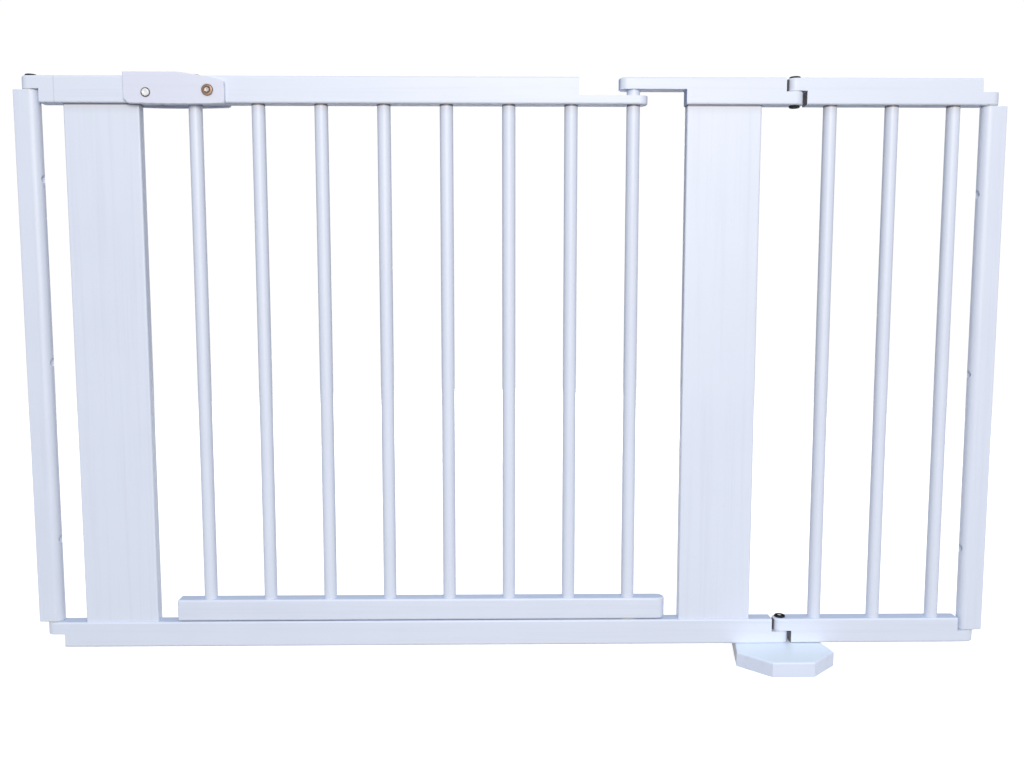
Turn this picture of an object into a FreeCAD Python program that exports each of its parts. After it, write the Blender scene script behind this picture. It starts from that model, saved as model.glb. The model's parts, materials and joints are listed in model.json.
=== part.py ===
"""Safety baby gate: a slatted wooden door in a raised frame, and a folding end section, between wall battens.

+X runs along the gate from the latch side to the wing side, -Y is the front, and +Z is up from the floor.
The origin is on the floor, half-way between the two wall faces, in the middle of the rails' depth.
Four rigid sections stand in a row: the left wall batten, the main frame that holds the door, the wing, and
the right wall batten. They meet at vertical pins, where half-height laps of the rails lie over each other.
"""
import FreeCAD, Part
import math
import os

# ---------------------------------------------------------------- driving dimensions (millimetres)
OVERALL_WIDTH = 1187.0      # wall face to wall face
RAIL_TOP = 717.0            # top of the upper rails above the floor
RAIL_DEPTH = 20.0           # front to back
RAIL_HEIGHT = 32.0
FOOT_HEIGHT = 18.0          # the foot block carries the threshold this far above the floor
EDGE_ROUND = 2.5            # rounding of the rails' long edges

DOWEL_DIAMETER = 16.0
DOOR_DOWELS = 7             # the door's bars, besides the pivot dowel
WING_DOWELS = 3
WING_DOWEL_INSET = 43.5     # wing's pins to its first and last bar
DOWEL_SEAT = 14.0           # how deep a bar's end stands in its rail
HOLE_RELIEF = 0.5           # room left under a dowel or pin in its blind hole

BATTEN_REACH = 18.0         # wall face to pin axis
BATTEN_BACK_ROUND = 1.5
BATTEN_END_ROUND = 1.0
WING_SPAN = 237.0           # wing's hinge pin to the right batten's pin
LATCH_TO_PIN = 194.0        # left batten's pin to the door's first dowel
LAP_GAP = 1.0               # between the two halves of a lap joint
WASHER_THICKNESS = 0.9
SHOULDER_GAP = 2.5          # between a lap's rounded end and the shoulder behind it

BOARD_WIDTH = 90.0
BOARD_THICKNESS = 15.0
LEFT_BOARD_INSET = 39.5     # left batten's pin to the left board
MIDDLE_BOARD_INSET = 41.0   # the middle board to the wing's hinge pin
BOARD_ROUND = 2.0
PIVOT_INSET = 64.0          # door's pivot to the middle board

DOOR_END = 40.0             # first dowel to the door's latch end
DOOR_CLOSING_GAP = 3.0      # door's latch end to the fixed rail's end
DOOR_BOTTOM_HEIGHT = 27.0
DOOR_FLOOR_GAP = 1.0        # door above the threshold
DOOR_TAIL = 46.5            # door's bottom rail past its pivot
DOOR_LAP_THICKNESS = 10.5
DOOR_LAP_REACH = 17.0       # door's top lap past its pivot
DOOR_SHOULDER = 66.0        # pivot to the full-height part of the door's top rail
STUB_THICKNESS = 14.0       # fixed tongue over the door's pivot
STUB_REACH = 17.8           # tongue past the pivot, towards the latch
STUB_SHOULDER = 63.0        # pivot to the full-height part of the middle top rail
PIVOT_SEAT = 10.0           # pivot dowel's length inside the tongue and the threshold
DOOR_BOLT_LENGTH = 45.0     # bolt down through the top rail into the first dowel

RUNNING_FIT = 0.06          # radial clearance of a pin that turns in its hole
HEAD_GAP = 0.1              # bolt head to the lap that turns under it

HEAD_DIAMETER = 13.4        # flat furniture bolts
HEAD_HEIGHT = 2.3
HEAD_ROUND = 1.0
NUT_HEAD_DIAMETER = 12.8    # wing's sleeve nut
SOCKET_ACROSS_FLATS = 4.0
SOCKET_DEPTH = 1.8
BOLT_DIAMETER = 6.0
SLEEVE_DIAMETER = 8.0       # sleeve nuts and the bottom hinge bolt
LATCH_HEAD_DIAMETER = 13.0
INSERT_DIAMETER = 10.0
INSERT_LENGTH = 18.0
FOOT_INSERT_FLOOR = 3.6     # wood left under the foot's insert
SLEEVE_CAP = 6.4            # solid end of the wing's sleeve nut
BOLT_RELIEF = 3.2           # room beyond a bolt's end
PIN_DIAMETER = 8.0
PIN_FLOOR = 2.5             # wood left beyond a pin's blind end
PIN_REACH = 16.0            # pin's length in the batten that turns on it
WASHER_DIAMETER = 19.0

WALL_SCREW_DIAMETER = 5.0
WALL_SCREW_HEAD = 10.0
WALL_SCREW_SINK = 1.5       # how far the head's rim lies below the batten's surface
WALL_SCREW_SPACING = 221.0

PEG_DIAMETER = 8.0
PEG_SEAT = 18.0
PEG_INSET = 17.0            # peg to the board's edge

FOOT_LENGTH = 121.0
FOOT_DEPTH = 146.0
FOOT_CORNER = 35.0
FOOT_TAPER = 13.0           # each side draws in by this much towards the back
FOOT_ROUND = 2.0
FOOT_SHIFT = 3.0            # foot's middle to the wing hinge, towards the door
FOOT_SCREW_DIAMETER = 4.0
FOOT_SCREW_HEAD = 8.0
FOOT_SCREW_SINK = 1.0
FOOT_SCREW_CONE = 2.5       # height of the countersunk head
FOOT_SCREW_PLACES = (20.0, 38.0)   # from the wing hinge, towards the door
FOOT_SCREW_COVER = 11.0     # wood left over the screws' tips
WING_FLOOR_GAP = 0.5        # wing's bottom rail above the foot block

CLASP_PLATE = 5.7
CLASP_SIDE_GAP = 0.3        # plate to rail
CLASP_BRIDGE = 3.0          # thickness over the rails
CLASP_LENGTH = 119.0
CLASP_TAIL = 19.6           # clasp past its bolt
CLASP_DROP = 16.4           # clasp below its bolt
CLASP_BOLT_DROP = 18.0      # rail's top to the bolt
CLASP_BOLT_PLACE = 19.2     # first dowel to the bolt
CLASP_BRIDGE_END = 36.0     # bolt to the end of the bridge
CLASP_SLOPE_DROP = 9.6      # how far the top falls over the slope
CLASP_SLOPE_BOW = 0.42      # share of that fall reached half-way along
CLASP_BOW = 1.1             # bow of the lower edge
CLASP_CHAMFER = 5.5
CLASP_CORNER = 3.5
CLASP_ROUND = 1.2

BUTTON_DIAMETER = 10.0
BUTTON_PLACE = 13.5         # door's latch end to the button
BUTTON_DROP = 20.9          # rail's top to the button
BUTTON_PROUD = 1.8          # dome past the clasp's face
BUTTON_DOME = 1.6
BUTTON_FLANGE = 2.0
BUTTON_FLANGE_DIAMETER = 13.0
BUTTON_WINDOW_GAP = 0.4     # radial room in the clasp's window
COLLAR_THICKNESS = 3.0
BUTTON_BACK_WALL = 2.0      # wood left behind the button's bore
SPRING_WIRE = 0.8
SPRING_TURNS = 5

CUT_PAST = 1.0              # cuts run this far past the wood
CORNER_SHARE = 0.99         # a fillet stays a hair under the corner it follows, so that no face vanishes
LEVEL = 1e-4                # two heights closer than this are the same

# ---------------------------------------------------------------- places worked out from them
HALF_DEPTH = RAIL_DEPTH / 2
RAIL_BOTTOM = RAIL_TOP - RAIL_HEIGHT
THRESHOLD_BOTTOM = FOOT_HEIGHT
THRESHOLD_TOP = THRESHOLD_BOTTOM + RAIL_HEIGHT
TOP_SPLIT = RAIL_TOP - RAIL_HEIGHT / 2
BOTTOM_SPLIT = THRESHOLD_TOP - RAIL_HEIGHT / 2
UPPER_LAP_FLOOR = TOP_SPLIT + LAP_GAP / 2
LOWER_LAP_ROOF = TOP_SPLIT - LAP_GAP / 2
BOTTOM_LAP_FLOOR = BOTTOM_SPLIT + LAP_GAP / 2
BOTTOM_LAP_ROOF = BOTTOM_SPLIT - LAP_GAP / 2
PIN_SEAT = (RAIL_HEIGHT - LAP_GAP) / 2 - PIN_FLOOR      # pin's length in the lap that holds it

LEFT_PIN = -OVERALL_WIDTH / 2 + BATTEN_REACH
RIGHT_PIN = -LEFT_PIN
WING_PIN = RIGHT_PIN - WING_SPAN
LEFT_BOARD = LEFT_PIN + LEFT_BOARD_INSET
MIDDLE_BOARD = WING_PIN - MIDDLE_BOARD_INSET - BOARD_WIDTH
FIRST_DOWEL = LEFT_PIN + LATCH_TO_PIN
DOOR_PIVOT = MIDDLE_BOARD - PIVOT_INSET
DOOR_PITCH = (DOOR_PIVOT - FIRST_DOWEL) / DOOR_DOWELS
WING_FIRST_DOWEL = WING_PIN + WING_DOWEL_INSET
WING_PITCH = (WING_SPAN - 2 * WING_DOWEL_INSET) / (WING_DOWELS - 1)

SHOULDER = HALF_DEPTH + SHOULDER_GAP
DOOR_LEFT = FIRST_DOWEL - DOOR_END
DOOR_RIGHT = DOOR_PIVOT + DOOR_TAIL
FIXED_RAIL_END = DOOR_LEFT - DOOR_CLOSING_GAP
DOOR_BOTTOM = THRESHOLD_TOP + DOOR_FLOOR_GAP
DOOR_BOTTOM_TOP = DOOR_BOTTOM + DOOR_BOTTOM_HEIGHT
DOOR_LAP_TOP = RAIL_BOTTOM + DOOR_LAP_THICKNESS
STUB_BOTTOM = RAIL_TOP - STUB_THICKNESS
WING_BOTTOM = THRESHOLD_BOTTOM + WING_FLOOR_GAP

CLASP_BOLT_X = FIRST_DOWEL + CLASP_BOLT_PLACE
CLASP_BOLT_Z = RAIL_TOP - CLASP_BOLT_DROP
CLASP_INNER = HALF_DEPTH + CLASP_SIDE_GAP
CLASP_OUTER = CLASP_INNER + CLASP_PLATE
BUTTON_X = DOOR_LEFT - BUTTON_PLACE
BUTTON_Z = RAIL_TOP - BUTTON_DROP
BUTTON_BORE_END = HALF_DEPTH - BUTTON_BACK_WALL

DOWEL_RADIUS = DOWEL_DIAMETER / 2
UP = FreeCAD.Vector(0, 0, 1)
BACK = FreeCAD.Vector(0, 1, 0)
RIGHT = FreeCAD.Vector(1, 0, 0)


# ---------------------------------------------------------------- building blocks
def save(name, *solids):
    """Write one sub-part; several equal fasteners share one file as separate solids."""
    shape = solids[0] if len(solids) == 1 else Part.makeCompound(list(solids))
    if not shape.isValid() or any(solid.Volume <= 0 for solid in shape.Solids):
        raise ValueError(name + " is not a sound solid")
    shape.exportStep(os.path.join("parts", name + ".step"))


def block(x0, x1, y0, y1, z0, z1):
    return Part.makeBox(x1 - x0, y1 - y0, z1 - z0, FreeCAD.Vector(x0, y0, z0))


def rod(radius, x, z0, z1, y=0.0):
    """A vertical cylinder."""
    return Part.makeCylinder(radius, z1 - z0, FreeCAD.Vector(x, y, z0), UP)


def cross_rod(radius, x, z, y0, y1):
    """A cylinder that runs front to back."""
    return Part.makeCylinder(radius, y1 - y0, FreeCAD.Vector(x, y0, z), BACK)


def outline(points_and_bows):
    """A closed flat face: each entry is a corner, or (corner, middle of the arc that leads on from it)."""
    edges = []
    for index, (corner, middle) in enumerate(points_and_bows):
        following = points_and_bows[(index + 1) % len(points_and_bows)][0]
        if middle is None:
            edges.append(Part.makeLine(corner, following))
        else:
            edges.append(Part.Arc(corner, middle, following).toShape())
    return Part.Face(Part.Wire(edges))


def level_edges(shape, *levels):
    """The edges that lie flat at the given heights."""
    found = []
    for edge in shape.Edges:
        box = edge.BoundBox
        if any(abs(box.ZMin - level) < LEVEL and abs(box.ZMax - level) < LEVEL for level in levels):
            found.append(edge)
    return found


def capsule_face(x0, x1, half_depth, z, round_left, round_right, corner):
    """Plan of a rail: each end is a half-round, or square with rounded corners."""
    points = []
    if round_left:
        points.append((FreeCAD.Vector(x0 + half_depth, half_depth, z), FreeCAD.Vector(x0, 0, z)))
        points.append((FreeCAD.Vector(x0 + half_depth, -half_depth, z), None))
    else:
        bow = corner * (1 - math.sqrt(0.5))
        points.append((FreeCAD.Vector(x0 + corner, half_depth, z),
                       FreeCAD.Vector(x0 + bow, half_depth - bow, z)))
        points.append((FreeCAD.Vector(x0, half_depth - corner, z), None))
        points.append((FreeCAD.Vector(x0, corner - half_depth, z),
                       FreeCAD.Vector(x0 + bow, bow - half_depth, z)))
        points.append((FreeCAD.Vector(x0 + corner, -half_depth, z), None))
    if round_right:
        points.append((FreeCAD.Vector(x1 - half_depth, -half_depth, z), FreeCAD.Vector(x1, 0, z)))
        points.append((FreeCAD.Vector(x1 - half_depth, half_depth, z), None))
    else:
        bow = corner * (1 - math.sqrt(0.5))
        points.append((FreeCAD.Vector(x1 - corner, -half_depth, z),
                       FreeCAD.Vector(x1 - bow, bow - half_depth, z)))
        points.append((FreeCAD.Vector(x1, corner - half_depth, z), None))
        points.append((FreeCAD.Vector(x1, half_depth - corner, z),
                       FreeCAD.Vector(x1 - bow, half_depth - bow, z)))
        points.append((FreeCAD.Vector(x1 - corner, half_depth, z), None))
    return outline(points)


def rail(x0, x1, z0, z1, round_left=False, round_right=False):
    """A plain rail with softened edges, before its laps and holes are cut."""
    face = capsule_face(x0, x1, HALF_DEPTH, z0, round_left, round_right, EDGE_ROUND)
    body = face.extrude(UP * (z1 - z0))
    return body.makeFillet(EDGE_ROUND * CORNER_SHARE, level_edges(body, z0, z1))


def lap_cut(x0, x1, z0, z1):
    """The block taken off a rail to leave a lap."""
    return block(x0, x1, -RAIL_DEPTH, RAIL_DEPTH, z0, z1)


def hex_socket(z):
    """The room of a hex socket that opens upwards at the height z, on the Z axis."""
    reach = SOCKET_ACROSS_FLATS / math.sqrt(3)
    corners = []
    for step in range(6):
        angle = math.radians(60 * step)
        corners.append((FreeCAD.Vector(reach * math.cos(angle), reach * math.sin(angle), z), None))
    return outline(corners).extrude(UP * -SOCKET_DEPTH)


def bolt_head(radius):
    """A low domed head standing on z = 0 at the origin, with its hex socket."""
    head = Part.makeCylinder(radius, HEAD_HEIGHT)
    head = head.makeFillet(HEAD_ROUND, level_edges(head, HEAD_HEIGHT))
    return head.cut(hex_socket(HEAD_HEIGHT))


def bolt_down(head_radius, shank_radius, x, seat, bottom):
    """A bolt whose head stands on the height `seat`, and whose shank ends at `bottom`."""
    head = bolt_head(head_radius)
    head.translate(FreeCAD.Vector(x, 0, seat))
    return head.fuse(rod(shank_radius, x, bottom, seat)).removeSplitter()


def washer(radius, hole_radius, x, z):
    """A nylon washer that lies on the height z."""
    ring = rod(radius, x, z, z + WASHER_THICKNESS)
    return ring.cut(rod(hole_radius, x, z - CUT_PAST, z + WASHER_THICKNESS + CUT_PAST))


def sleeve(x, y, z, direction, head_radius, length, bore_depth):
    """A sleeve nut: a domed head behind the point (x, y, z), and a threaded barrel along `direction`."""
    head = Part.makeCylinder(head_radius, HEAD_HEIGHT, FreeCAD.Vector(0, 0, -HEAD_HEIGHT))
    head = head.makeFillet(HEAD_ROUND, level_edges(head, -HEAD_HEIGHT))
    barrel = Part.makeCylinder(SLEEVE_DIAMETER / 2, length)
    bore = Part.makeCylinder(BOLT_DIAMETER / 2, bore_depth, FreeCAD.Vector(0, 0, length - bore_depth))
    nut = head.fuse(barrel).removeSplitter().cut(bore)
    nut.Placement = FreeCAD.Placement(FreeCAD.Vector(x, y, z), FreeCAD.Rotation(UP, direction))
    return nut


# ---------------------------------------------------------------- holes shared by neighbours
def peg_places(board):
    return (board + PEG_INSET, board + BOARD_WIDTH - PEG_INSET)


def peg_holes(board):
    """Holes for the glued pegs at both ends of a board, in the board and in its two rails."""
    holes = []
    for x in peg_places(board):
        for joint in (THRESHOLD_TOP, RAIL_BOTTOM):
            reach = PEG_SEAT + HOLE_RELIEF
            holes.append(rod(PEG_DIAMETER / 2, x, joint - reach, joint + reach))
    return Part.makeCompound(holes)


def dowel_holes(places, bottom_joint, top_joint):
    """Blind holes for a row of bars, in the rail below and in the rail above."""
    reach = DOWEL_SEAT + HOLE_RELIEF
    holes = []
    for x in places:
        holes.append(rod(DOWEL_RADIUS, x, bottom_joint - reach, bottom_joint))
        holes.append(rod(DOWEL_RADIUS, x, top_joint, top_joint + reach))
    return Part.makeCompound(holes)


DOOR_DOWEL_PLACES = [FIRST_DOWEL + DOOR_PITCH * i for i in range(DOOR_DOWELS)]
WING_DOWEL_PLACES = [WING_FIRST_DOWEL + WING_PITCH * i for i in range(WING_DOWELS)]


# ---------------------------------------------------------------- main frame
def threshold_rail():
    x0, x1 = LEFT_PIN - HALF_DEPTH, WING_PIN + HALF_DEPTH
    body = rail(x0, x1, THRESHOLD_BOTTOM, THRESHOLD_TOP, True, True)
    low = THRESHOLD_BOTTOM - CUT_PAST
    body = body.cut(lap_cut(x0 - CUT_PAST, LEFT_PIN + SHOULDER, low, BOTTOM_LAP_FLOOR))
    body = body.cut(lap_cut(WING_PIN - SHOULDER, x1 + CUT_PAST, BOTTOM_LAP_ROOF, THRESHOLD_TOP + CUT_PAST))
    body = body.cut(peg_holes(LEFT_BOARD)).cut(peg_holes(MIDDLE_BOARD))
    pivot_floor = THRESHOLD_TOP - PIVOT_SEAT - HOLE_RELIEF
    body = body.cut(rod(DOWEL_RADIUS + RUNNING_FIT, DOOR_PIVOT, pivot_floor, THRESHOLD_TOP))
    body = body.cut(rod(PIN_DIAMETER / 2, LEFT_PIN, THRESHOLD_TOP - PIN_SEAT, THRESHOLD_TOP))
    body = body.cut(rod(SLEEVE_DIAMETER / 2, WING_PIN, THRESHOLD_BOTTOM, BOTTOM_SPLIT))
    return body.cut(foot_screw_group())


def left_top_rail():
    x0 = LEFT_PIN - HALF_DEPTH
    body = rail(x0, FIXED_RAIL_END, RAIL_BOTTOM, RAIL_TOP, True, False)
    body = body.cut(lap_cut(x0 - CUT_PAST, LEFT_PIN + SHOULDER, RAIL_BOTTOM - CUT_PAST, UPPER_LAP_FLOOR))
    body = body.cut(rod(BOLT_DIAMETER / 2 + RUNNING_FIT, LEFT_PIN, TOP_SPLIT, RAIL_TOP))
    bore = cross_rod(BUTTON_FLANGE_DIAMETER / 2 + RUNNING_FIT, BUTTON_X, BUTTON_Z,
                     -HALF_DEPTH, BUTTON_BORE_END)
    return body.cut(peg_holes(LEFT_BOARD)).cut(bore)


def middle_top_rail():
    x0 = DOOR_PIVOT - STUB_REACH
    x1 = WING_PIN + HALF_DEPTH
    body = rail(x0, x1, RAIL_BOTTOM, RAIL_TOP, True, True)
    body = body.cut(lap_cut(x0 - CUT_PAST, DOOR_PIVOT + STUB_SHOULDER, RAIL_BOTTOM - CUT_PAST, STUB_BOTTOM))
    body = body.cut(lap_cut(WING_PIN - SHOULDER, x1 + CUT_PAST, LOWER_LAP_ROOF, RAIL_TOP + CUT_PAST))
    body = body.cut(peg_holes(MIDDLE_BOARD))
    socket_roof = STUB_BOTTOM + PIVOT_SEAT + HOLE_RELIEF
    body = body.cut(rod(DOWEL_RADIUS + RUNNING_FIT, DOOR_PIVOT, STUB_BOTTOM, socket_roof))
    return body.cut(rod(SLEEVE_DIAMETER / 2, WING_PIN, RAIL_BOTTOM, TOP_SPLIT))


def board(x0):
    half = BOARD_THICKNESS / 2
    face = capsule_face(x0, x0 + BOARD_WIDTH, half, THRESHOLD_TOP, False, False, BOARD_ROUND)
    return face.extrude(UP * (RAIL_BOTTOM - THRESHOLD_TOP)).cut(peg_holes(x0))


def board_pegs(x0):
    pegs = []
    for x in peg_places(x0):
        for joint in (THRESHOLD_TOP, RAIL_BOTTOM):
            pegs.append(rod(PEG_DIAMETER / 2, x, joint - PEG_SEAT, joint + PEG_SEAT))
    return pegs


def foot_screw_group():
    """Countersunk screws that hold the foot block under the threshold."""
    screws = []
    for place in FOOT_SCREW_PLACES:
        x = WING_PIN - place
        shank = rod(FOOT_SCREW_DIAMETER / 2, x, FOOT_SCREW_SINK, THRESHOLD_TOP - FOOT_SCREW_COVER)
        head = Part.makeCone(FOOT_SCREW_HEAD / 2, FOOT_SCREW_DIAMETER / 2, FOOT_SCREW_CONE,
                             FreeCAD.Vector(x, 0, FOOT_SCREW_SINK), UP)
        screws.append(shank.fuse(head).removeSplitter())
    return Part.makeCompound(screws)


def foot_block():
    middle = WING_PIN - FOOT_SHIFT
    half_x, half_y = FOOT_LENGTH / 2, FOOT_DEPTH / 2
    right_side = (
        (half_x - FOOT_CORNER, -half_y),
        (half_x, FOOT_CORNER - half_y),
        (half_x - FOOT_TAPER, half_y - FOOT_CORNER),
        (half_x - FOOT_CORNER, half_y),
    )
    corners = [(FreeCAD.Vector(middle + across, along, 0), None) for across, along in right_side]
    for across, along in reversed(right_side):
        corners.append((FreeCAD.Vector(middle - across, along, 0), None))
    body = outline(corners).extrude(UP * FOOT_HEIGHT)
    body = body.makeFillet(FOOT_ROUND, level_edges(body, FOOT_HEIGHT))
    body = body.cut(rod(INSERT_DIAMETER / 2, WING_PIN, FOOT_INSERT_FLOOR, FOOT_HEIGHT))
    for place in FOOT_SCREW_PLACES:
        body = body.cut(rod(FOOT_SCREW_HEAD / 2, WING_PIN - place, 0, FOOT_SCREW_SINK))
    return body.cut(foot_screw_group())


def foot_insert():
    ring = rod(INSERT_DIAMETER / 2, WING_PIN, FOOT_INSERT_FLOOR, FOOT_HEIGHT)
    return ring.cut(rod(SLEEVE_DIAMETER / 2, WING_PIN, 0, FOOT_HEIGHT + CUT_PAST))


def button_collar():
    """The ring pressed into the mouth of the button's bore."""
    mouth = -HALF_DEPTH
    inside = mouth + COLLAR_THICKNESS
    outer, inner = BUTTON_FLANGE_DIAMETER / 2 + RUNNING_FIT, BUTTON_DIAMETER / 2 + RUNNING_FIT
    ring = cross_rod(outer, BUTTON_X, BUTTON_Z, mouth, inside)
    return ring.cut(cross_rod(inner, BUTTON_X, BUTTON_Z, mouth - CUT_PAST, inside + CUT_PAST))


def lock_button():
    front = -CLASP_OUTER - BUTTON_PROUD
    flange_front = COLLAR_THICKNESS - HALF_DEPTH
    stem = cross_rod(BUTTON_DIAMETER / 2, BUTTON_X, BUTTON_Z, front, flange_front)
    rim = [edge for edge in stem.Edges
           if abs(edge.BoundBox.YMax - front) < LEVEL and abs(edge.BoundBox.YMin - front) < LEVEL]
    stem = stem.makeFillet(BUTTON_DOME, rim)
    flange_back = flange_front + BUTTON_FLANGE
    flange = cross_rod(BUTTON_FLANGE_DIAMETER / 2, BUTTON_X, BUTTON_Z, flange_front, flange_back)
    return stem.fuse(flange).removeSplitter()


def lock_spring():
    """The coil behind the button, as long as it is with the button out."""
    start = COLLAR_THICKNESS - HALF_DEPTH + BUTTON_FLANGE + SPRING_WIRE / 2
    end = BUTTON_BORE_END - SPRING_WIRE / 2
    radius = BUTTON_DIAMETER / 2 - SPRING_WIRE
    helix = Part.makeHelix((end - start) / SPRING_TURNS, end - start, radius)
    wire = Part.Wire(Part.makeCircle(SPRING_WIRE / 2, FreeCAD.Vector(radius, 0, 0), BACK))
    coil = Part.Wire(helix.Edges).makePipeShell([wire], True, True)
    coil.Placement = FreeCAD.Placement(FreeCAD.Vector(BUTTON_X, start, BUTTON_Z), FreeCAD.Rotation(UP, BACK))
    return coil


# ---------------------------------------------------------------- door
def door_top_rail():
    x1 = DOOR_PIVOT + DOOR_LAP_REACH
    body = rail(DOOR_LEFT, x1, RAIL_BOTTOM, RAIL_TOP, False, True)
    body = body.cut(lap_cut(DOOR_PIVOT - DOOR_SHOULDER, x1 + CUT_PAST, DOOR_LAP_TOP, RAIL_TOP + CUT_PAST))
    body = body.cut(dowel_holes(DOOR_DOWEL_PLACES, DOOR_BOTTOM_TOP, RAIL_BOTTOM))
    body = body.cut(rod(DOWEL_RADIUS, DOOR_PIVOT, RAIL_BOTTOM, RAIL_TOP))
    body = body.cut(cross_rod(SLEEVE_DIAMETER / 2, CLASP_BOLT_X, CLASP_BOLT_Z, -RAIL_DEPTH, RAIL_DEPTH))
    return body.cut(rod(BOLT_DIAMETER / 2, FIRST_DOWEL, RAIL_BOTTOM, RAIL_TOP))


def door_bottom_rail():
    body = rail(DOOR_LEFT, DOOR_RIGHT, DOOR_BOTTOM, DOOR_BOTTOM_TOP, False, True)
    body = body.cut(dowel_holes(DOOR_DOWEL_PLACES, DOOR_BOTTOM_TOP, RAIL_BOTTOM))
    return body.cut(rod(DOWEL_RADIUS, DOOR_PIVOT, DOOR_BOTTOM, DOOR_BOTTOM_TOP))


def door_dowel(x):
    """A bar of the door; the first one is drilled for the bolt that clamps the rail over it."""
    bar = rod(DOWEL_RADIUS, x, DOOR_BOTTOM_TOP - DOWEL_SEAT, RAIL_BOTTOM + DOWEL_SEAT)
    if x == FIRST_DOWEL:
        bar = bar.cut(rod(BOLT_DIAMETER / 2, x, RAIL_TOP - DOOR_BOLT_LENGTH, RAIL_TOP))
    return bar


def door_pivot_dowel():
    return rod(DOWEL_RADIUS, DOOR_PIVOT, THRESHOLD_TOP - PIVOT_SEAT, STUB_BOTTOM + PIVOT_SEAT)


def door_rail_bolt():
    return bolt_down(HEAD_DIAMETER / 2, BOLT_DIAMETER / 2, FIRST_DOWEL, RAIL_TOP, RAIL_TOP - DOOR_BOLT_LENGTH)


# ---------------------------------------------------------------- latch
def clasp_blank():
    """The clasp before its slot: flat over the rails, sloping down past its bolt, slightly bowed below."""
    left = CLASP_BOLT_X + CLASP_TAIL - CLASP_LENGTH
    right = CLASP_BOLT_X + CLASP_TAIL
    top = RAIL_TOP + CLASP_BRIDGE
    low = CLASP_BOLT_Z - CLASP_DROP
    slope_start = CLASP_BOLT_X - CLASP_BRIDGE_END

    def at(x, z):
        return FreeCAD.Vector(x, -CLASP_OUTER, z)

    slope_middle = at((slope_start + right) / 2, top - CLASP_SLOPE_DROP * CLASP_SLOPE_BOW)
    face = outline([
        (at(left, top), None),
        (at(slope_start, top), slope_middle),
        (at(right, top - CLASP_SLOPE_DROP), None),
        (at(right, low + CLASP_BOW), at((left + right) / 2, low)),
        (at(left + CLASP_CHAMFER, low + CLASP_BOW), None),
        (at(left, low + CLASP_BOW + CLASP_CHAMFER), None),
    ])
    body = face.extrude(BACK * (2 * CLASP_OUTER))
    nose = [edge for edge in body.Edges
            if edge.BoundBox.YLength > CLASP_OUTER and edge.BoundBox.XMin > right - LEVEL]
    body = body.makeFillet(CLASP_CORNER, nose)
    rims = [edge for edge in body.Edges if edge.BoundBox.YLength < LEVEL]
    return body.makeFillet(CLASP_ROUND, rims)


def latch_clasp():
    body = clasp_blank()
    low, top = CLASP_BOLT_Z - 2 * CLASP_DROP, RAIL_TOP + 2 * CLASP_BRIDGE
    far_left, far_right = CLASP_BOLT_X - CLASP_LENGTH, CLASP_BOLT_X + CLASP_LENGTH
    body = body.cut(block(far_left, far_right, -CLASP_INNER, CLASP_INNER, low, RAIL_TOP))
    body = body.cut(block(CLASP_BOLT_X - CLASP_BRIDGE_END, far_right, -CLASP_INNER, CLASP_INNER, low, top))
    bolt_hole = SLEEVE_DIAMETER / 2 + RUNNING_FIT
    body = body.cut(cross_rod(bolt_hole, CLASP_BOLT_X, CLASP_BOLT_Z, -RAIL_DEPTH, RAIL_DEPTH))
    window = cross_rod(BUTTON_DIAMETER / 2 + BUTTON_WINDOW_GAP, BUTTON_X, BUTTON_Z, -RAIL_DEPTH, 0)
    return body.cut(window)


def latch_bolt():
    head = bolt_head(LATCH_HEAD_DIAMETER / 2)
    shank = Part.makeCylinder(BOLT_DIAMETER / 2, RAIL_DEPTH, FreeCAD.Vector(0, 0, -RAIL_DEPTH))
    bolt = head.fuse(shank).removeSplitter()
    face = -CLASP_OUTER - HEAD_GAP
    bolt.Placement = FreeCAD.Placement(FreeCAD.Vector(CLASP_BOLT_X, face, CLASP_BOLT_Z),
                                       FreeCAD.Rotation(UP, BACK * -1))
    return bolt


def latch_sleeve_nut():
    face = CLASP_OUTER + HEAD_GAP
    return sleeve(CLASP_BOLT_X, face, CLASP_BOLT_Z, BACK * -1, LATCH_HEAD_DIAMETER / 2,
                  2 * CLASP_OUTER + HEAD_GAP, RAIL_DEPTH + HEAD_GAP + HOLE_RELIEF)


# ---------------------------------------------------------------- wing
def wing_top_rail():
    x0, x1 = WING_PIN - HALF_DEPTH, RIGHT_PIN + HALF_DEPTH
    body = rail(x0, x1, RAIL_BOTTOM, RAIL_TOP, True, True)
    body = body.cut(lap_cut(x0 - CUT_PAST, WING_PIN + SHOULDER, RAIL_BOTTOM - CUT_PAST, UPPER_LAP_FLOOR))
    body = body.cut(lap_cut(RIGHT_PIN - SHOULDER, x1 + CUT_PAST, LOWER_LAP_ROOF, RAIL_TOP + CUT_PAST))
    body = body.cut(dowel_holes(WING_DOWEL_PLACES, THRESHOLD_TOP, RAIL_BOTTOM))
    body = body.cut(rod(SLEEVE_DIAMETER / 2 + RUNNING_FIT, WING_PIN, TOP_SPLIT, RAIL_TOP))
    return body.cut(rod(PIN_DIAMETER / 2, RIGHT_PIN, RAIL_BOTTOM, RAIL_BOTTOM + PIN_SEAT))


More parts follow.
